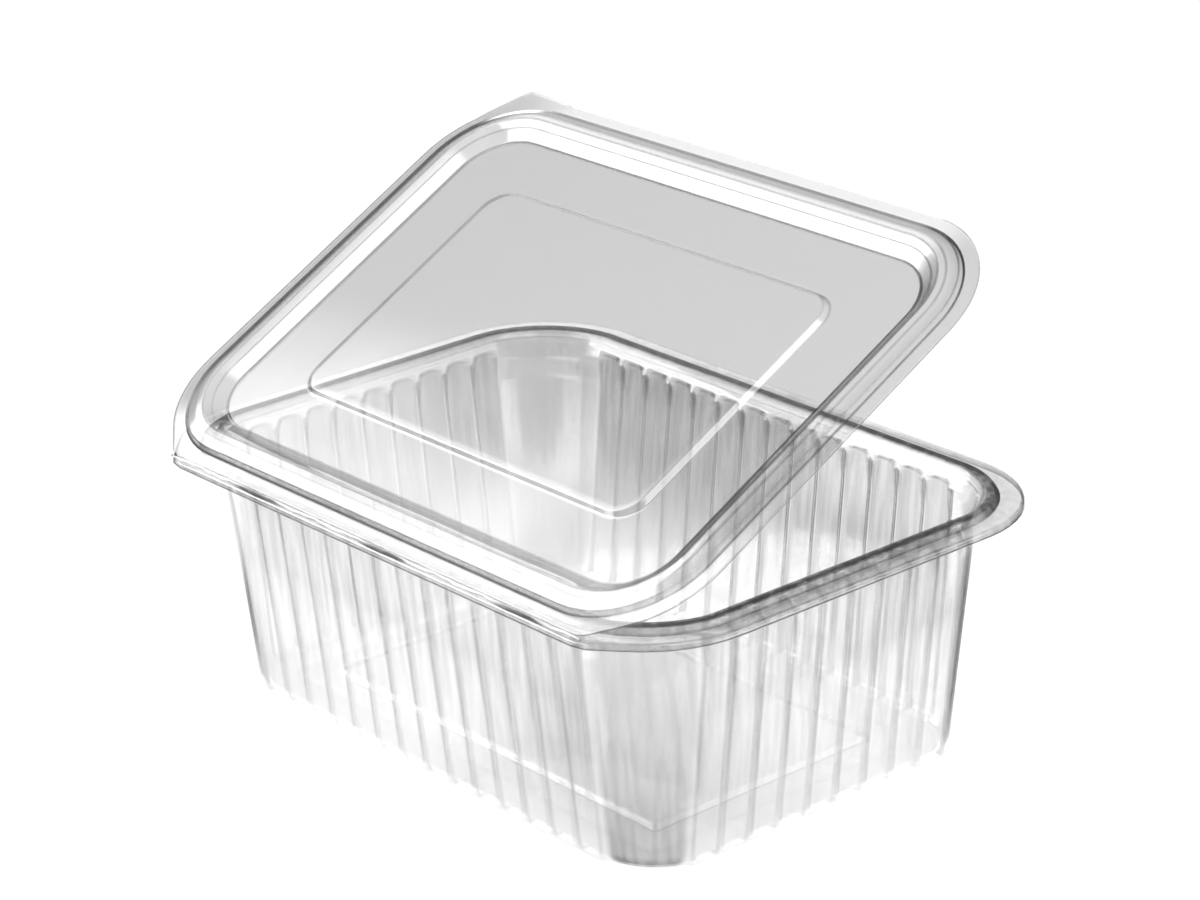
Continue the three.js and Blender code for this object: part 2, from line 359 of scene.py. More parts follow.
def stretched_noise(shader, place, stretch, scale):
    """A soft noise on the object's coordinates, which are stretched first."""
    drawn = shader.node(
        "ShaderNodeVectorMath", {"operation": "MULTIPLY"}, {0: place, 1: stretch}
    )
    return shader.node("ShaderNodeTexNoise", inputs={"Vector": drawn, "Scale": scale, "Detail": 0.0})


def mirrored_and_stopped(shader, place, edge_grey, edge_power, streaking):
    """The share of light that a face mirrors, and the share of the rest that meets its shade."""
    steepness = shader.node("ShaderNodeLayerWeight", inputs={"Blend": 0.5}, output="Facing")
    # the mesh's grey: painted shade above zero, painted light below it
    painted_light_and_shade = shader.node("ShaderNodeAttribute", {"attribute_name": "grey"}, output="Fac")
    streaks = stretched_noise(shader, place, STREAK_STRETCH, STREAK_SCALE)
    grey = painted_light_and_shade.math("MAXIMUM", 0.0)
    kept = 1 + painted_light_and_shade.math("MINIMUM", 0.0)
    mirror_share = (steepness**MIRROR_POWER * (1 - MIRROR_SHARE) + MIRROR_SHARE) * kept
    mirror_share = mirror_share * shader.ramp(grey, *GREY_TAKES_MIRROR, 1.0, MIRROR_LEFT)
    bent = grey * GREY_STRAIGHT_ON + grey * grey * steepness * steepness * GREY_FROM_SIDE
    bent = bent * shader.ramp(streaks, *STREAK_RANGE, 1 - streaking, 1 + streaking)
    stopped = 1 - (1 - steepness**edge_power * edge_grey) * (1 - bent.math("MINIMUM", 1.0))
    return mirror_share, stopped * kept


print("a sheet mirrors", MIRROR_SHARE, "from straight on")

# %% The clear sheet's material
SHADE = 0.12
HAZE_WHITE = 0.62
MIRROR_WHITE = 0.95
MIRROR_ROUGHNESS = 0.05
WAVE_SCALE = 30.0
WAVE_HEIGHT = 0.001
LAMPS_PASS = 0.95


def clear_plastic(name, through, haze, edge_grey, edge_power, waviness, stretch, streaking):
    """Clear formed sheet. through is the grey that one face lets through, haze its milky share."""
    material = bpy.data.materials.new(name)
    material.use_nodes = True
    shader = Shader(material.node_tree)
    place = shader.node("ShaderNodeTexCoord", output="Object")
    waves = stretched_noise(shader, place, stretch, WAVE_SCALE)
    bump = shader.node(
        "ShaderNodeBump",
        inputs={"Strength": 1.0, "Distance": WAVE_HEIGHT, "Height": waves * waviness},
    )
    mirror_share, stopped = mirrored_and_stopped(shader, place, edge_grey, edge_power, streaking)
    clear = shader.node("ShaderNodeBsdfTransparent", inputs={"Color": grey_colour(through)})
    shade = shader.node("ShaderNodeBsdfTransparent", inputs={"Color": grey_colour(SHADE)})
    milky = shader.node(
        "ShaderNodeBsdfDiffuse", inputs={"Color": grey_colour(HAZE_WHITE), "Normal": bump}
    )
    gloss = shader.node(
        "ShaderNodeBsdfGlossy",
        inputs={"Color": grey_colour(MIRROR_WHITE), "Roughness": MIRROR_ROUGHNESS, "Normal": bump},
    )
    edged = shader.node("ShaderNodeMixShader", inputs={0: stopped, 1: clear, 2: shade})
    hazy = shader.node("ShaderNodeMixShader", inputs={0: haze, 1: edged, 2: milky})
    seen = shader.node("ShaderNodeMixShader", inputs={0: mirror_share, 1: hazy, 2: gloss})
    shadow_ray = shader.node("ShaderNodeLightPath", output="Is Shadow Ray")
    diffuse_ray = shader.node("ShaderNodeLightPath", output="Is Diffuse Ray")
    surface = shader.node(
        "ShaderNodeMixShader",
        inputs={
            0: shadow_ray.math("MAXIMUM", diffuse_ray) * LAMPS_PASS,
            1: seen,
            2: shader.node("ShaderNodeBsdfTransparent"),
        },
    )
    shader.node("ShaderNodeOutputMaterial", inputs={"Surface": surface})
    print("material", name, "lets through", through)
    return material


tub_plastic = clear_plastic(
    "clear_tub", through=0.975, haze=0.03, edge_grey=0.2, edge_power=5.0,
    waviness=0.05, stretch=(4.0, 4.0, 0.5), streaking=0.16,
)
# painted shade: the lid's copy lets less through and greys more at its edges, for how light falls on the
# lid
shaded_lid_plastic = clear_plastic(
    "clear_lid", through=0.87, haze=0.03, edge_grey=0.8, edge_power=3.0,
    waviness=0.22, stretch=(1.0, 1.0, 1.0), streaking=0.05,
)

# %% [markdown]
# ## How a formed sheet is built
#
# The real sheet is heated and drawn into a mould, so its shape is a series of rings, one inside another:
# lip, flange, bead, wall, foot and floor. Each ring is a rectangle with round corners. The model starts
# as the outermost ring and is extruded ring by ring, and each new ring is moved to its place. A Solidify
# modifier then gives the whole its thickness.

# %% Sizes, read from the frame
MM = 0.001
FOLD = Vector(frame["record"]["behaviour"]["joints"][0]["pos_m"]) / MM
RIM_HEIGHT = FOLD.z
TUB_LOW, TUB_HIGH = (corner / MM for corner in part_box("tub"))
TUB_LENGTH = TUB_HIGH.x - TUB_LOW.x
TUB_WIDTH = -2 * FOLD.y
SHEET = 0.4
print("tub", round(TUB_LENGTH, 1), "x", round(TUB_WIDTH, 1), "x", round(RIM_HEIGHT, 1), "mm")

# %% Rings with round corners
ROUND_BULGE = math.tan(math.pi / 8) / 2
SMALLEST_RADIUS = 0.6


def level(
    half, straight, z, bulge=ROUND_BULGE, relief=0.0, proud=0.0, bend=0.0, line=0.0, grey=0.0
):
    """One ring: half its size, half the length of its straight sides, and its height.

    bulge is how far its corners stand out of their chords, relief its share of the flutes' depth, proud
    what the flutes have to stand out on top of their depth, bend how far its bend reaches, line the
    painted shade in the middle of that bend, and grey the ring's own painted shade, which is painted light
    below zero.
    """
    return {
        "half": Vector(half), "straight": Vector(straight), "z": z, "bulge": bulge,
        "relief": relief, "proud": proud, "bend": bend, "line": line, "grey": grey,
    }


def round_level(size, radius, inset, z, **more):
    """A ring with round corners at an inset from an outline of that size."""
    half = Vector(size) / 2 - Vector((inset,) * 2)
    straight = Vector(size) / 2 - Vector((max(radius, inset + SMALLEST_RADIUS),) * 2)
    return level(half, straight, z, **more)


def between(one, other, share):
    """The level at a share of the way from one to another."""
    return {key: one[key] + (other[key] - one[key]) * share for key in one}


def distance(one, other):
    """How far apart two levels are on the sheet's profile."""
    return math.hypot((one["half"] - other["half"]).length / math.sqrt(2), one["z"] - other["z"])


def progress(value, start, end):
    """How far a value has got on its way from start to end, from 0 to 1."""
    return min(max((value - start) / (end - start), 0.0), 1.0)


print("a round corner stands", round(ROUND_BULGE, 4), "of its chord out of it")

# %% [markdown]
# A bend in formed sheet is a small curve. Each level that has a bend is swapped for a few levels on the
# curve that its neighbours would draw, so that the extruded sheet turns smoothly there. The middle of
# the curve also carries the level's line strength, painted shade for the thin grey line that a tight bend
# shows where it bends light away. Grey is painted shade of the same kind for a whole stretch of sheet.

# %% Round the bends of a profile
BEND_STEPS = 3


def rounded(levels):
    """The levels, with each bend swapped for a few levels on its curve."""
    smooth = [levels[0]]
    for before, here, after in zip(levels, levels[1:], levels[2:]):
        if not here["bend"]:
            smooth.append(here)
            continue
        into = between(here, before, min(here["bend"] / distance(here, before), 0.5))
        out_of = between(here, after, min(here["bend"] / distance(here, after), 0.5))
        for step in range(BEND_STEPS + 1):
            share = step / BEND_STEPS
            point = between(
                between(into, here, share), between(here, out_of, share), share
            )
            point["grey"] = max(point["grey"], here["line"] * math.sin(math.pi * share))
            smooth.append(point)
    return smooth + [levels[-1]]


print("a bend has", BEND_STEPS, "steps")

# %% [markdown]
# A ring's vertices are the same all the way down, so they're listed once, as stations: some on each
# corner's arc and some on each straight side. On the tub's sides they bunch up where a flute's flank
# will be, so that the flank is a smooth curve and the flat faces cost next to nothing. Corners and sides
# are numbered anticlockwise from the corner at +X and +Y, so corners 2 and 3 are the ones at the fold.

# %% Stations round a ring
CORNERS = ((1, 1), (-1, 1), (-1, -1), (1, -1))
FOLD_CORNERS = (2, 3)
SIDES = (  # outward, along
    (Vector((0, 1)), Vector((-1, 0))),
    (Vector((-1, 0)), Vector((0, -1))),
    (Vector((0, -1)), Vector((1, 0))),
    (Vector((1, 0)), Vector((0, 1))),
)


def stations(side_fractions, corner_steps):
    """('corner', index, fraction) and ('side', index, fraction from -1 to 1), anticlockwise."""
    found = []
    for index in range(4):
        for step in range(corner_steps + 1):
            found.append(("corner", index, step / corner_steps))
        for fraction in side_fractions[index % 2]:
            found.append(("side", index, fraction))
    return found


print(len(CORNERS), "corners and", len(SIDES), "sides")

# %% Points on a ring's corners and sides
def arc_point(start, end, bulge, fraction):
    """A point on the arc from start to end that stands bulge times its chord out of that chord."""
    half_chord = (end - start).length / 2
    height = 2 * half_chord * bulge
    radius = (half_chord**2 + height**2) / (2 * height)
    angle = math.asin(half_chord / radius) * (2 * fraction - 1)
    along = (end - start).normalized()
    outward = Vector((along.y, -along.x))
    centre = (start + end) / 2 + outward * (height - radius)
    return centre + outward * radius * math.cos(angle) + along * radius * math.sin(angle)


def corner_point(index, ring, fraction):
    """The point at a fraction of the way round a corner, anticlockwise."""
    sign_x, sign_y = CORNERS[index]
    ends = [
        Vector((sign_x * ring["half"].x, sign_y * ring["straight"].y)),
        Vector((sign_x * ring["straight"].x, sign_y * ring["half"].y)),
    ]
    start, end = ends[::-1] if index % 2 else ends
    return arc_point(start, end, ring["bulge"], fraction)


def side_of(index, ring):
    """A side's directions outward and along, how far out it lies, and half its length."""
    outward, along = SIDES[index]
    return outward, along, ring["half"][1 - index % 2], ring["straight"][index % 2]


print("middle of a round corner", arc_point(Vector((1, 0)), Vector((0, 1)), ROUND_BULGE, 0.5))

# %% [markdown]
# Where the fold ends, the flanges of tub and lid part, and there the sheet is trimmed a little outside
# the round corner. Both corners run out to a small tip, where two tangents of the corner's arc meet. The
# points between those tangents are moved straight out from the corner's centre.

# %% Corners drawn out to a tip at the fold
TIP_ANGLE = math.radians(20.0)
OUTLINE_BAND = 0.6


def at_outline(ring, size):
    """Whether a ring belongs to the outermost edge of a sheet of that size."""
    return ring["half"].x > size.x / 2 - OUTLINE_BAND


def drawn_to_fold(point, size, radius):
    """Moves a point of a corner on the fold's side out to the two tangents that meet in a small tip."""
    centre = size / 2 - Vector((radius,) * 2)
    from_centre = Vector((abs(point.x) - centre.x, -point.y - centre.y))
    angle = math.atan2(from_centre.x, from_centre.y)
    if not 0 < angle < 2 * TIP_ANGLE:
        return point
    from_centre /= math.cos(min(angle, 2 * TIP_ANGLE - angle))
    return Vector((math.copysign(from_centre.x + centre.x, point.x), -from_centre.y - centre.y))


print("a tip is", round(1 / math.cos(TIP_ANGLE), 3), "of the corner's radius from its centre")

# %% [markdown]
# The tub and the lid share the two steps that follow. The first extrudes a sheet through its rings and
# asks a place function where each station of a ring goes and how grey it is. The second turns the sheet
# into a piece, with a material, a thickness and normals that keep its flat faces flat.

# %% Extrude a sheet ring by ring
def extrude_edges(shape, edges):
    """Extrudes a row of edges without moving it, and gives the new edges and the new vertices."""
    made = bmesh.ops.extrude_edge_only(shape, edges=edges)["geom"]
    kinds = (bmesh.types.BMEdge, bmesh.types.BMVert)
    return [[item for item in made if isinstance(item, kind)] for kind in kinds]


def extrude_rings(ring_stations, levels, place):
    """A sheet through the levels, outermost first. place gives a station's point and its grey."""
    shape = bmesh.new()
    number = shape.verts.layers.int.new("station")
    grey = shape.verts.layers.float.new("grey")
    verts = [shape.verts.new() for _ in ring_stations]
    for index, vert in enumerate(verts):
        vert[number] = index
    edges = [shape.edges.new(pair) for pair in zip(verts, verts[1:] + verts[:1])]
    for turn, ring in enumerate(levels):
        if turn:
            edges, verts = extrude_edges(shape, edges)
        for vert in verts:
            point, vert[grey] = place(ring_stations[vert[number]], ring)
            vert.co = (point.x, point.y, ring["z"])
    bmesh.ops.contextual_create(shape, geom=edges)
    print(len(levels), "rings of", len(ring_stations), "stations")
    return shape


# %% Turn a sheet into a piece
def make_piece(name, shape, material, facing, thickness=SHEET):
    """Makes a piece of a sheet. The face made last looks towards facing, and it thickens the other way."""
    bmesh.ops.scale(shape, vec=(MM, MM, MM), verts=shape.verts)
    bmesh.ops.recalc_face_normals(shape, faces=shape.faces)
    shape.faces.ensure_lookup_table()
    if shape.faces[-1].normal.dot(Vector(facing)) < 0:
        bmesh.ops.reverse_faces(shape, faces=shape.faces)
    for face in shape.faces:
        face.smooth = True
    piece = add_mesh(name, shape, material)
    solidify = piece.modifiers.new("thickness", "SOLIDIFY")
    solidify.thickness = thickness * MM
    solidify.offset = -1.0
    solidify.use_even_offset = True
    piece.modifiers.new("flat faces stay flat", "WEIGHTED_NORMAL")
    print(name, len(piece.data.polygons), "faces before thickness")
    return piece


# %% [markdown]
# ## The tub
#
# The profile of the tub is listed from the lip inwards, each bend by its distance in from the outline
# and its height. It is the underside of the sheet, and the thickness grows inwards from it. The flange
# ends in a small lip turned down, the bead is the ridge that the lid snaps over, and the wall leans in
# by about six degrees so that empty tubs nest.

# %% The tub's sizes
TUB_SIZE = Vector((TUB_LENGTH, TUB_WIDTH))
CORNER_RADIUS = 30.0
FLANGE = -1.05
BEAD = 0.25
WALL_INSET = 9.7
WALL_TOP = RIM_HEIGHT - 1.2
DRAFT = math.tan(math.radians(6.05))
PANEL_BULGE = (0.14, 0.16)
FLUTE_PITCH = 9.1
FLUTES = (14, 9)
FLUTED_END = Vector(FLUTES) * FLUTE_PITCH / 2


def wall_inset(height):
    """How far in from the outline the plain wall lies at a height."""
    return WALL_INSET + (WALL_TOP - height) * DRAFT


def rim_level(inset, height, **more):
    """A level of the rim, which changes little by little from the outline's corners to the wall's."""
    share = min(inset / WALL_INSET, 1.0)
    outline = round_level(TUB_SIZE, CORNER_RADIUS, inset, RIM_HEIGHT + height, **more)
    fluted = dict(outline, straight=FLUTED_END, bulge=PANEL_BULGE[1])
    return between(outline, fluted, share)


def wall_level(height, extra=0.0, **more):
    """A level of the wall, extra millimetres inside the plain leaning wall."""
    half = TUB_SIZE / 2 - Vector((wall_inset(height) + extra,) * 2)
    bulge = PANEL_BULGE[0] + (PANEL_BULGE[1] - PANEL_BULGE[0]) * height / RIM_HEIGHT
    return level(half, FLUTED_END, height, bulge=bulge, proud=extra, **more)


def floor_level(inset, height, **more):
    """A level of the floor, where the corners are plain round ones again."""
    return round_level(TUB_SIZE, CORNER_RADIUS, inset, height, **more)


print("the wall leans in by", round(wall_inset(0) - WALL_INSET, 1), "mm")

# %% [markdown]
# Just under the flutes' round tops the ridges between them stand further into the tub, and show as a row
# of small bright scallops. The foot's grey is below zero: painted light, which washes the foot out as the
# bright floor beside it does. The box rests on a ring with a faint painted line round it, and the middle
# of the floor is raised so that it stands without rocking. A row starts with its distance in from the
# outline, or on the wall with its height.

# %% The tub's profile
FOOT_FLAT = 2.2
FLOOR_RING = 16.0
FLOOR_EDGE = wall_inset(0) + FOOT_FLAT + FLOOR_RING
FLOOR_RISE = 1.8
WALL_GREY = 0.05
# painted light: below zero, so the foot mirrors and darkens less and fades into the bright floor
FOOT_PAINTED_LIGHT = -0.75
CROWN_LEVELS = (  # height, how far the ridges between the flutes stand proud into the tub there
    (61.9, 0.45), (61.5, 0.55), (61.1, 0.65), (60.7, 0.76), (60.3, 0.87), (59.8, 1.0), (59.2, 1.1),
    (58.3, 1.1), (56.8, 0.8), (54.0, 0.2), (52.0, 0.0), (40.0, 0.0), (22.0, 0.0), (9.0, 0.0),
)
# the rows' greys and lines are painted shade along the lip, bead and bends; below zero at the foot,
# painted light
TUB_LEVELS = rounded([
    rim_level(0.4, -2.35, grey=1.0),
    rim_level(0.4, -1.95, grey=0.6),
    rim_level(0.4, FLANGE, bend=0.5, line=0.5, grey=0.26),
    rim_level(5.0, FLANGE, grey=0.34),
    rim_level(5.25, FLANGE, bend=0.25, line=1.0, grey=0.8),
    rim_level(6.05, BEAD, bend=0.4, line=1.0, grey=0.75),
    rim_level(8.3, BEAD, bend=0.4, line=0.8, grey=0.7),
    rim_level(9.1, -0.45, bend=0.3, line=0.3, grey=0.1),
    rim_level(9.7, -1.2, bend=0.3, line=0.5, grey=0.15),
    wall_level(62.3, extra=0.35, grey=0.2),
    *[wall_level(height, relief=1.0, extra=proud, grey=WALL_GREY) for height, proud in CROWN_LEVELS],
    wall_level(2.6, relief=1.0, bend=0.9, grey=FOOT_PAINTED_LIGHT),
    wall_level(0.7, extra=0.8, relief=0.8, bend=0.6, grey=FOOT_PAINTED_LIGHT),
    wall_level(0.0, extra=FOOT_FLAT, bend=0.6, grey=FOOT_PAINTED_LIGHT),
    floor_level(FLOOR_EDGE - 8.6, 0.0),
    floor_level(FLOOR_EDGE - 8.0, 0.2, grey=0.15),
    floor_level(FLOOR_EDGE - 7.4, 0.0),
    floor_level(FLOOR_EDGE, 0.0, bend=0.3, line=0.7),
    floor_level(FLOOR_EDGE + 0.3, FLOOR_RISE, bend=0.4),
    floor_level(FLOOR_EDGE + 2.4, FLOOR_RISE),
])
print(len(TUB_LEVELS), "rings from lip to floor")

# %% [markdown]
# ## The flutes
#
# Fourteen flutes stand side by side along each long wall and nine along each short one. They stiffen the
# thin wall. A flute is a raised field with straight flanks and a rounded top, so its height above the
# wall depends only on how deep inside that field's outline a point lies, and it rises over the flank
# with a smooth step.

# %% The flutes' relief
FLUTE_DEPTH = 1.3
FLUTE_HALF = 4.38
FLUTE_FLANK = 0.55
FLUTE_TOP = 61.3
FLUTE_CROWN_RADIUS = 3.2
FLANK_STATIONS = (1.5, 2.8, 3.83, 3.97, 4.11, 4.25, 4.38)


def flute_rise(across, height):
    """The share of its depth that a flute stands out, and how far down past its round top that is."""
    from_side = FLUTE_HALF - abs(across)
    from_top = FLUTE_TOP - height
    if from_side < FLUTE_CROWN_RADIUS and from_top < FLUTE_CROWN_RADIUS:
        reach = math.hypot(FLUTE_CROWN_RADIUS - from_side, FLUTE_CROWN_RADIUS - from_top)
        inside = FLUTE_CROWN_RADIUS - reach
    else:
        inside = min(from_side, from_top)
    step = progress(inside, 0.0, FLUTE_FLANK)
    return step * step * (3 - 2 * step), progress(from_top, 0.0, FLUTE_CROWN_RADIUS)


def flute_fractions(count):
    """Stations along a side with that many flutes, as fractions of its half length."""
    half_length = count * FLUTE_PITCH / 2
    across = [side * value for side in (-1, 1) for value in FLANK_STATIONS]
    middles = [(index - (count - 1) / 2) * FLUTE_PITCH for index in range(count)]
    found = sorted({round(middle + value, 3) for middle in middles for value in across})
    return [value / half_length for value in found]


TUB_STATIONS = stations([flute_fractions(count) for count in FLUTES], corner_steps=12)
print(len(TUB_STATIONS), "stations round the tub")

# %% [markdown]
# The flutes and the plain panels at the corners get painted shade as well: a line along each flank, a
# tone on each flute that grows towards the rim, and one on each panel that changes down to the foot.
# Each wall is lit differently, so the strengths of this painted shade differ from side to side.

# %% The painted shade of panels and flutes
# painted shade, one number for each side: the flank lines, the flutes' tone and the corner panels' tone
FLANK_PAINTED_SHADE = (0.80, 0.64, 0.54, 0.66)
FLANK_PAINTED_SHADE_LOW = 0.5  # its share that is left at the foot
FLUTE_PAINTED_SHADE = (0.60, 0.50, 0.52, 0.56)
FLUTE_PAINTED_SHADE_HEIGHTS = (4.0, 40.0)
CORNER_PAINTED_SHADE = (0.05, 0.20, 0.05, 0.08)
CORNER_PAINTED_SHADE_LOW = (0.10, 0.40, 0.10, 0.80)
PANEL_FADE = 3.0


def panel_grey(index, ring, fraction):
    """The painted shade of a corner's plain panel, which fades in from both of its edges."""
    low = (1 - ring["z"] / RIM_HEIGHT) ** 2
    grey = CORNER_PAINTED_SHADE[index] * (1 - low) + CORNER_PAINTED_SHADE_LOW[index] * low
    grey = grey * ring["relief"] - min(ring["grey"], 0.0)
    return ring["grey"] + grey * min(PANEL_FADE * math.sin(math.pi * fraction), 1.0)


def flute_grey(index, ring, rise, below_top):
    """The painted shade of a flute and the line along its flank, whichever is darker."""
    up = progress(ring["z"], *FLUTE_PAINTED_SHADE_HEIGHTS)
    strength = FLANK_PAINTED_SHADE_LOW + (1 - FLANK_PAINTED_SHADE_LOW) * up
    flank = FLANK_PAINTED_SHADE[index] * strength * below_top * 4 * rise * (1 - rise)
    drawn = max(FLUTE_PAINTED_SHADE[index] * up * rise, flank)
    return max(ring["grey"], drawn) if ring["grey"] >= 0 else ring["grey"] + drawn


print("flank lines from", min(FLANK_PAINTED_SHADE), "to", max(FLANK_PAINTED_SHADE))

# %% Place a station of the tub
def tub_point(station, ring):
    """A station's point and grey, before the changes round the rim."""
    kind, index, fraction = station
    if kind == "corner":
        point = corner_point(index, ring, fraction)
        if index in FOLD_CORNERS and at_outline(ring, TUB_SIZE):
            point = drawn_to_fold(point, TUB_SIZE, CORNER_RADIUS)
        return point, panel_grey(index, ring, fraction)
    outward, along, out, reach = side_of(index, ring)
    across = fraction * reach
    grey = ring["grey"]
    if ring["relief"]:
        from_middle = (across + reach) % FLUTE_PITCH - FLUTE_PITCH / 2
        rise, below_top = flute_rise(from_middle, ring["z"])
        out += (FLUTE_DEPTH + ring["proud"]) * rise * ring["relief"]
        grey = flute_grey(index, ring, rise, below_top)
    return outward * out + along * across, grey


print("a flute stands out by", FLUTE_DEPTH, "mm")

# %% [markdown]
# The rim's painted shade is lighter along the fold, where the lid's flange lies over it, and darker round
# the right side, where the bead turns away from the light.

# %% The rim's painted shade
# painted shade of the rim: how much of it goes along the fold, how much it grows at the right, and its
# most
RIM_CLEARER = 0.6
RIM_DARKER = 0.5
RIM_DARKEST = 0.8
RIM_FOLD_SIDE = (50.0, 62.0)
RIM_RIGHT_SIDE = (60.0, 85.0)
RIM_RIGHT_END = (40.0, 0.0)


def tub_place(station, ring):
    """A station's point and grey on the tub, with the rim's painted shade changed round its outline."""
    point, grey = tub_point(station, ring)
    if ring["z"] > WALL_TOP:
        at_fold = progress(-point.y, *RIM_FOLD_SIDE)
        at_side = progress(point.x, *RIM_RIGHT_SIDE) * progress(point.y, *RIM_RIGHT_END)
        grey *= 1 - RIM_CLEARER * at_fold * (1 - at_side) + RIM_DARKER * at_side
        grey = min(grey, RIM_DARKEST)
    return point, grey


print("the rim's greys stay under", RIM_DARKEST)

# %% Build the tub
tub_shape = extrude_rings(TUB_STATIONS, TUB_LEVELS, tub_place)
tub = make_piece("tub_sheet", tub_shape, tub_plastic, facing=(0, 0, -1))
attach(tub, "tub")
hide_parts("tub")

# %% [markdown]
# ## The lid
#
# The lid is built flat, in its own frame with the fold on the X axis, in the same way: outline, flange,
# a bead that fits over the tub's, and a flat panel with a raised rectangle. At one far corner the flange
# grows into a tab to lift it by. Then the lid is turned up round the fold as a whole, as the real one is.

# %% The lid's profile
LID_ANGLE = math.radians(28.0)
LID_LENGTH = 186.8
LID_NEAR = 0.6
LID_REACH = 137.4
LID_SIZE = Vector((LID_LENGTH, LID_REACH - LID_NEAR))
LID_CENTRE = Vector((0, (LID_REACH + LID_NEAR) / 2))
LID_CORNER_RADIUS = 28.5
STEP_SIZE = Vector((121.5, 76.0))
STEP_RADIUS = 8.0
STEP_RISE = 1.3
PANEL = -0.4
LID_SIDE_STEPS = 24


def lid_level(inset, height, **more):
    """A level between the lid's outline and its panel."""
    return round_level(LID_SIZE, LID_CORNER_RADIUS, inset, height, **more)


def step_level(inset, height, **more):
    """A level of the raised rectangle on the panel."""
    return round_level(STEP_SIZE, STEP_RADIUS, inset, height, **more)


# the greys and lines are painted shade along the lid's flange, bead, panel edge and raised rectangle
LID_LEVELS = rounded([
    lid_level(0.0, 0.5, grey=0.3),
    lid_level(0.5, 0.55),
    lid_level(3.6, 0.8, bend=0.35, line=1.5),
    lid_level(4.4, 2.0, bend=0.35, line=0.9, grey=0.35),
    lid_level(7.1, 3.0, bend=0.5, line=0.6),
    lid_level(9.2, 3.3, bend=0.5, line=0.7),
    lid_level(11.2, 1.9, bend=0.35, line=0.8, grey=0.05),
    lid_level(14.2, PANEL, bend=0.5, line=1.1),
    step_level(0.0, PANEL, bend=0.4, line=0.5),
    step_level(1.15, PANEL + STEP_RISE, bend=0.4, line=0.35),
    step_level(3.0, PANEL + STEP_RISE),
])
LID_FRACTIONS = [step / LID_SIDE_STEPS for step in range(1 - LID_SIDE_STEPS, LID_SIDE_STEPS)]
LID_STATIONS = stations([LID_FRACTIONS, LID_FRACTIONS], corner_steps=16)
print(len(LID_LEVELS), "rings from the lid's outline to its panel")

# %% [markdown]
# The tab is a few straight cuts round one corner, so its edge is a short list of points. The outline's
# points there are moved straight out from the corner's centre until they meet it.

# %% The tab
TAB_CORNER = 1
TAB_EDGE = [
    Vector(point)
    for point in ((-62.0, 137.4), (-76.5, 138.1), (-80.4, 138.2), (-82.6, 135.4), (-88.6, 125.4))
]


def tab_point(point):
    """Moves a point of the lid's outline straight out from the corner's centre to the tab's edge."""
    to_corner = LID_SIZE / 2 - Vector((LID_CORNER_RADIUS,) * 2)
    centre = LID_CENTRE + Vector(CORNERS[TAB_CORNER]) * to_corner
    direction = (point - centre).normalized()
    for start, end in zip(TAB_EDGE, TAB_EDGE[1:]):
        side = end - start
        cross = direction.cross(side)
        reach = (start - centre).cross(side) / cross
        share = (start - centre).cross(direction) / cross
        if 0 <= share <= 1 and reach > (point - centre).length:
            return centre + direction * reach
    return point


print("the tab's edge has", len(TAB_EDGE), "points")

# %% [markdown]
# Two things get fainter painted shade on the lid: the lines of the raised rectangle along its sides at the
# fold and at the right, and the stretch of bead and panel beside the fold.

# %% Place a station of the lid
# painted shade made fainter: what is kept of it on those sides, and what goes beside the fold
FAINT_STEP = 0.3
FAINT_STEP_SIDES = (2, 3)  # with the corners of the same numbers
STEP_MARGIN = 1
FAINT_AT_FOLD = 0.65
FAINT_STARTS = (6.0, 9.0)
FAINT_ENDS = (32.0, 18.0)


def lid_point(station, ring):
    """A station's point on the flat lid, with the tips at the fold and the tab."""
    kind, index, fraction = station
    if kind == "corner":
        point = corner_point(index, ring, fraction)
        if index in FOLD_CORNERS and at_outline(ring, LID_SIZE):
            point = drawn_to_fold(point, LID_SIZE, LID_CORNER_RADIUS)
        point = LID_CENTRE + point
        if index == TAB_CORNER and at_outline(ring, LID_SIZE):
            point = tab_point(point)
        return point
    outward, along, out, reach = side_of(index, ring)
    return LID_CENTRE + outward * out + along * fraction * reach


def lid_place(station, ring):
    """A station's point and its painted shade on the lid."""
    point = lid_point(station, ring)
    grey = ring["grey"]
    if ring["half"].x < STEP_SIZE.x / 2 + STEP_MARGIN and station[1] in FAINT_STEP_SIDES:
        grey *= FAINT_STEP
    at_fold = progress(point.y, *FAINT_STARTS) * progress(point.y, *FAINT_ENDS)
    return point, grey * (1 - FAINT_AT_FOLD * at_fold)


print("the faint stretch lies", FAINT_STARTS[0], "to", FAINT_ENDS[0], "mm from the fold")

# %% Build the lid and turn it up
lid_shape = extrude_rings(LID_STATIONS, LID_LEVELS, lid_place)
bmesh.ops.rotate(
    lid_shape, verts=lid_shape.verts, cent=(0, 0, 0), matrix=Matrix.Rotation(LID_ANGLE, 3, "X"),
)
bmesh.ops.translate(lid_shape, verts=lid_shape.verts, vec=FOLD)
lid = make_piece("lid_sheet", lid_shape, shaded_lid_plastic, facing=(0, 0, 1))
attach(lid, "lid")
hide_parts("lid")
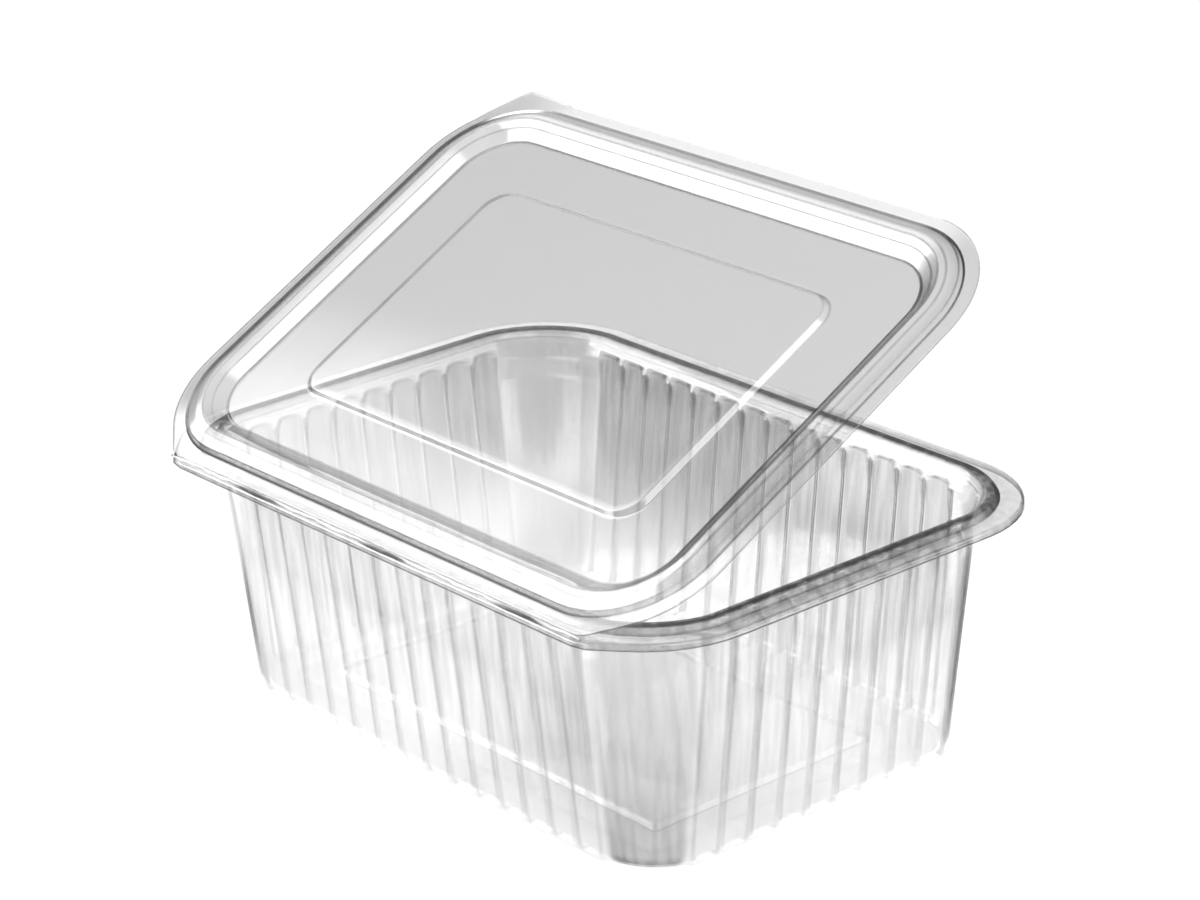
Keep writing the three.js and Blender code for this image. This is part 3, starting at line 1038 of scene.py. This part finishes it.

# %% [markdown]
# ## The fold
#
# Lid and tub are one sheet, so the flanges run into each other along the long side. The fold is a narrow
# strip that bends round from the tub's flange to the lid's. It is a little uneven, as a folded edge is,
# with painted shade in patches along the middle of its bend, and it gets narrower and flatter just before
# each end, where the two flanges part.

# %% The fold's shape
FOLD_HALF_LENGTH = 76.0
FOLD_STEPS = 152
FOLD_BEND_STEPS = 8
FOLD_SHEET = 0.25
FOLD_BULGE = 0.55
FOLD_TAPER = 3.0
FOLD_END_BULGE = 0.4
FOLD_END_HEIGHT = 0.25
FOLD_WAVES = ((0.16, 0.41, 0.0), (0.10, 1.13, 1.0))  # height, turn for each millimetre, turn at x = 0
PATCH_LEAST = 0.25
PATCH_TURN = 0.13
PATCH_START = 0.6
# where the strip meets each flange, across and up from the fold's line
TUB_SIDE = Vector((0.35, -1.0))
LID_SIDE = Vector((0.35, 0.7))


def fold_point(x, share):
    """A point of the strip: share 0 is at the tub's flange, 1 at the lid's."""
    taper = min(1.0, (FOLD_HALF_LENGTH - abs(x)) / FOLD_TAPER)
    uneven = sum(height * math.sin(x * turn + start) for height, turn, start in FOLD_WAVES)
    straight = TUB_SIDE.lerp(LID_SIDE, share)
    bulge = FOLD_END_BULGE + (1 - FOLD_END_BULGE) * taper
    out = math.sin(math.pi * share) * (FOLD_BULGE + uneven) * bulge
    up = straight.y * (FOLD_END_HEIGHT + (1 - FOLD_END_HEIGHT) * taper)
    return Vector((x, FOLD.y + straight.x - out, FOLD.z + up))


def fold_grey(x, share):
    """The strip's painted shade: patchy along its length, and most in the middle of its bend."""
    patchy = PATCH_LEAST + (1 - PATCH_LEAST) * max(math.sin(x * PATCH_TURN + PATCH_START), 0.0)
    return patchy * max(math.sin(math.pi * share), 0.0) ** 0.5


print("the fold is", 2 * FOLD_HALF_LENGTH, "mm long")

# %% Build the fold's strip
fold_shape = bmesh.new()
grey_layer = fold_shape.verts.layers.float.new("grey")
shares = [step / FOLD_BEND_STEPS for step in range(FOLD_BEND_STEPS + 1)]
first = [fold_shape.verts.new(fold_point(-FOLD_HALF_LENGTH, share)) for share in shares]
edges = [fold_shape.edges.new(pair) for pair in zip(first, first[1:])]
for step in range(1, FOLD_STEPS + 1):
    x = FOLD_HALF_LENGTH * (2 * step / FOLD_STEPS - 1)
    edges, moved = extrude_edges(fold_shape, edges)
    moved.sort(key=lambda vert: vert.co.z)
    for vert, share in zip(moved, shares):
        vert.co = fold_point(x, share)
        # painted shade along the fold's bend
        vert[grey_layer] = fold_grey(x, share)
fold = make_piece("fold_sheet", fold_shape, shaded_lid_plastic, (0, -1, 0), thickness=FOLD_SHEET)
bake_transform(fold)
